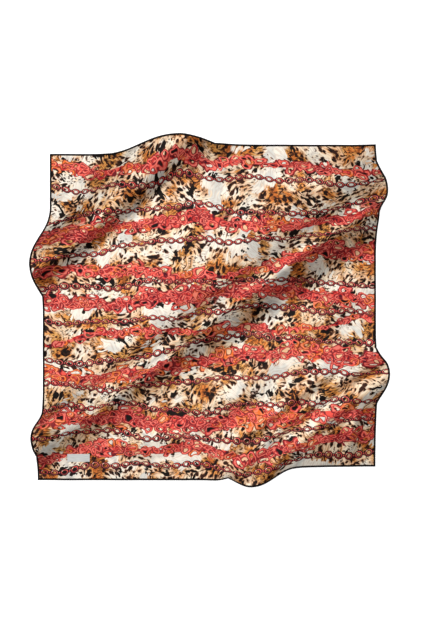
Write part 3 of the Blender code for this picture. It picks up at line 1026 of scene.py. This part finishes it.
def make_panel(front, reverse):
    """The printed square itself, whose face and reverse have their own materials."""
    half_size = (PANEL_REACH, PANEL_REACH)
    cells = (PANEL_CELLS, PANEL_CELLS)
    mesh = cloth_grid("silk_panel", (0.0, 0.0), half_size, cells, lambda square: SILK_TOP)
    panel = new_piece("silk_panel", mesh, front, reverse)
    thicken(panel, SILK_THICKNESS, material_step=1)
    return panel


def tubes(name, lines, radius, flats, material, thickness=None):
    """One mesh of tubes along lines of points. Flats is half the number of sides, less two.

    Thickness, where it is given, is each point's own share of the radius.
    """
    curve = bpy.data.curves.new(name, "CURVE")
    curve.dimensions = "3D"
    curve.bevel_depth = radius
    curve.bevel_resolution = flats
    curve.use_fill_caps = True
    curve.twist_mode = "Z_UP"
    for line in lines:
        spline = curve.splines.new("POLY")
        spline.points.add(len(line) - 1)
        spline.points.foreach_set("co", np.column_stack((line, np.ones(len(line)))).ravel())
        if thickness is not None:
            spline.points.foreach_set("radius", thickness)
        spline.use_smooth = True
    helper = bpy.data.objects.new(name, curve)
    bpy.context.scene.collection.objects.link(helper)
    bpy.context.view_layer.update()
    finished = helper.evaluated_get(bpy.context.evaluated_depsgraph_get())
    mesh = bpy.data.meshes.new_from_object(finished)
    bpy.data.objects.remove(helper)
    bpy.data.curves.remove(curve)
    mesh.name = name
    tidy = bmesh.new()
    tidy.from_mesh(mesh)
    bmesh.ops.remove_doubles(tidy, verts=tidy.verts, dist=MERGE_GAP)
    bmesh.ops.recalc_face_normals(tidy, faces=tidy.faces)
    tidy.to_mesh(mesh)
    tidy.free()
    mesh.materials.clear()
    mesh.shade_smooth()
    return new_piece(name, mesh, material)


def edge_places(edge, count):
    """Places on the cut along one edge of the panel, and the cloth's directions there."""
    outward = OUTWARD[edge]
    sideways = np.abs(outward[::-1])
    spots = HALF_PANEL * (outward + np.linspace(-1.0, 1.0, count)[:, None] * sideways)
    along_u, along_v, up = cloth_directions(spots)
    away = np.cross(along_v if outward[0] else along_u, up)
    away *= np.sign(away[:, :2] @ outward)[:, None]
    return laid(spots), unit(away), up


def make_hem(edge, hem_silk):
    """One rolled hem, a little uneven, and pinched by each stitch."""
    count = HEM_STITCHES * POINTS_PER_STITCH + 1
    foot, away, up = edge_places(edge, count)
    uneven = np.random.default_rng(sorted(OUTWARD).index(edge)).normal(0.0, 1.0, count)
    smoothing = np.hanning(9)
    uneven = np.convolve(uneven, smoothing / smoothing.sum(), mode="same")
    phase = np.arange(count) / POINTS_PER_STITCH
    plump = 1.0 + ROLL_UNEVEN * uneven - ROLL_PINCH * np.cos(2 * np.pi * phase)
    line = foot + away * (SEAM_GAP + HEM_RADIUS) + up * HEM_RADIUS * ROLL_HEIGHT
    if edge in ("top", "bottom"):
        past = SEAM_GAP + 2 * HEM_RADIUS
        line[0] += unit(line[0] - line[1]) * past
        line[-1] += unit(line[-1] - line[-2]) * past
    radius = HEM_RADIUS * ROLL_FILL
    return tubes("rolled_hem_" + edge, [line], radius, 2, hem_silk, thickness=plump)


# A hem stitch comes out of the silk beside the roll and slants over it. Each further point
# lies a number of points on along the edge, and out and up from the roll's middle, in radii.
STITCH_FOOT = 0.0008
STITCH_RADIUS = HEM_RADIUS * 0.96
STITCH_POINTS = ((0, -0.80, 0.62), (1, 0.10, 1.00), (1, 0.85, 0.45))


def make_hem_stitches(thread):
    """The small slanting stitches that hold the roll to the cloth."""
    lines = []
    count = HEM_STITCHES * POINTS_PER_STITCH + 1
    for edge in OUTWARD:
        foot, away, up = edge_places(edge, count)
        middle = foot + away * (SEAM_GAP + HEM_RADIUS) + up * HEM_RADIUS
        for here in range(POINTS_PER_STITCH, count - POINTS_PER_STITCH, POINTS_PER_STITCH):
            points = [foot[here] - away[here] * STITCH_FOOT + up[here] * SILK_TOP]
            for step, out, high in STITCH_POINTS:
                at = here + step
                beside = away[at] * STITCH_RADIUS * out
                points.append(middle[at] + beside + up[at] * STITCH_RADIUS * high)
            lines.append(np.array(points))
    return tubes("hem_stitches", lines, THREAD_RADIUS, 1, thread)


def label_height(square):
    """The label's upper face, raised where its ends are turned under."""
    past_fold = np.abs(square[:, 0]) - (1 - LABEL_TURN_IN)
    turned_in = np.clip(past_fold / TURN_IN_SLOPE, 0.0, 1.0)
    return SILK_TOP + LABEL_THICKNESS + LABEL_CLEAR + TURN_IN_LIFT * turned_in


def make_label(satin):
    """The bare satin label, its ends turned under and its edges softened."""
    mesh = cloth_grid("sewn_label", LABEL_PLACE, LABEL_SIZE / 2, LABEL_CELLS, label_height)
    label = new_piece("sewn_label", mesh, satin)
    thicken(label, LABEL_THICKNESS)
    rounding = label.modifiers.new("soft edge", "BEVEL")
    rounding.width = LABEL_ROUNDING
    rounding.segments = 2
    rounding.limit_method = "ANGLE"
    return label


def make_label_stitches(thread):
    """A running stitch round the label, just inside its edge."""
    reach = LABEL_SIZE / 2 - RUNNING_INSET
    sink = np.array(RUNNING_SINK)
    lines = []
    for axis in (0, 1):
        count = round(2 * reach[axis] / RUNNING_PITCH)
        starts = np.linspace(-reach[axis], reach[axis] - RUNNING_DASH, count)
        for side in (-1, 1):
            for start in starts:
                flat = np.empty((len(sink), 2))
                flat[:, axis] = start + np.linspace(0.0, RUNNING_DASH, len(sink))
                flat[:, 1 - axis] = side * reach[1 - axis]
                square = flat / (LABEL_SIZE / 2)
                lines.append(above(LABEL_PLACE + flat, label_height(square) + sink))
    return tubes("label_stitches", lines, LABEL_THREAD_RADIUS, 1, thread)


# ---------------------------------------------------------------- the scarf

weave = twill_weave()
scarf_design = scarf_print()
front_silk = silk_material("printed_silk_face", scarf_design, weave, 0.0)
reverse_silk = silk_material("printed_silk_reverse", scarf_design, weave, 0.30)
hem_silk = hem_material(weave)
dark_thread = thread_material("dark_thread", ink(34, 30, 32), ink(74, 68, 70))
white_thread = thread_material("white_thread", ink(205, 202, 196), ink(236, 234, 230))
label_satin = label_material(weave)

panel = make_panel(front_silk, reverse_silk)
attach(panel, "root")
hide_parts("panel")

for edge in OUTWARD:
    hem = make_hem(edge, hem_silk)
    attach(hem, "root")
    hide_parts("hem_" + edge)

hem_stitches = make_hem_stitches(dark_thread)
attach(hem_stitches, "root")

label = make_label(label_satin)
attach(label, "root")
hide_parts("label")

label_stitches = make_label_stitches(white_thread)
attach(label_stitches, "root")

# ---------------------------------------------------------------- floor, light and camera

FLOOR_HALF_SIZE = 2.2
FLOOR_TOP = -0.0004
Lamp = namedtuple("Lamp", "name place size power")
LAMPS = (
    Lamp("overhead_softbox", (-0.25, 0.25, 4.30), 5.4, 150.0),
    Lamp("side_light", (-2.40, 2.30, 2.60), 1.8, 18.0),
)
PALE_WALLS = 0.80  # brightness of the studio's walls as they are seen
WALL_LIGHT = 0.07  # light that the walls give back
CAMERA_PLACE = (0.0040, -0.0124, 1.700)
CAMERA_LENS = 38.04
CAMERA_SENSOR = 36.0
WHITE_LIGHT = (1.0, 1.0, 1.0, 1.0)


def make_floor():
    """A plain pale surface under the scarf."""
    mesh = bpy.data.meshes.new("floor")
    plane = bmesh.new()
    bmesh.ops.create_grid(plane, x_segments=1, y_segments=1, size=FLOOR_HALF_SIZE)
    bmesh.ops.translate(plane, verts=plane.verts, vec=(0.0, 0.0, FLOOR_TOP))
    plane.to_mesh(mesh)
    plane.free()
    material, bench, shader = new_material("pale_floor")
    place = bench.add("TexCoord", {})["Object"]
    tone = bench.noise(place, 0.5, 1.0)
    bench.put(shader["Base Color"], bench.blend(tone, ink(246, 246, 246), ink(250, 250, 250)))
    shader["Roughness"].default_value = 0.9
    shader["Specular IOR Level"].default_value = 0.1
    shader["Emission Color"].default_value = WHITE_LIGHT
    seen = bench.add("LightPath", {})["Is Camera Ray"]
    bench.put(shader["Emission Strength"], bench.product(seen, 0.5))
    return new_piece("floor", mesh, material)


def make_light(lamp):
    """A round soft light that looks at the middle of the scarf."""
    light = bpy.data.lights.new(lamp.name, "AREA")
    light.shape = "DISK"
    light.size = lamp.size
    light.energy = lamp.power
    stand = bpy.data.objects.new(lamp.name, light)
    stand.location = lamp.place
    stand.rotation_euler = (-Vector(lamp.place)).to_track_quat("-Z", "Y").to_euler()
    bpy.context.scene.collection.objects.link(stand)


def make_studio():
    """Pale walls all round, which give back a little light."""
    world = bpy.data.worlds.new("pale_studio")
    world.use_nodes = True
    walls = world.node_tree.nodes["Background"].inputs
    walls["Color"].default_value = WHITE_LIGHT
    bench = Bench(world.node_tree)
    seen = bench.add("LightPath", {})["Is Camera Ray"]
    bench.put(walls["Strength"], bench.maths("MULTIPLY_ADD", seen, PALE_WALLS, WALL_LIGHT))
    bpy.context.scene.world = world


def make_camera():
    """The camera, which looks straight down."""
    camera = bpy.data.cameras.new("camera")
    camera.lens = CAMERA_LENS
    camera.sensor_width = CAMERA_SENSOR
    stand = bpy.data.objects.new("camera", camera)
    stand.location = CAMERA_PLACE
    bpy.context.scene.collection.objects.link(stand)
    return stand


make_floor()
for lamp in LAMPS:
    make_light(lamp)
make_studio()
bpy.context.scene.view_settings.view_transform = "Standard"
bpy.context.scene.view_settings.look = "Medium High Contrast"
bpy.context.scene.camera = make_camera()
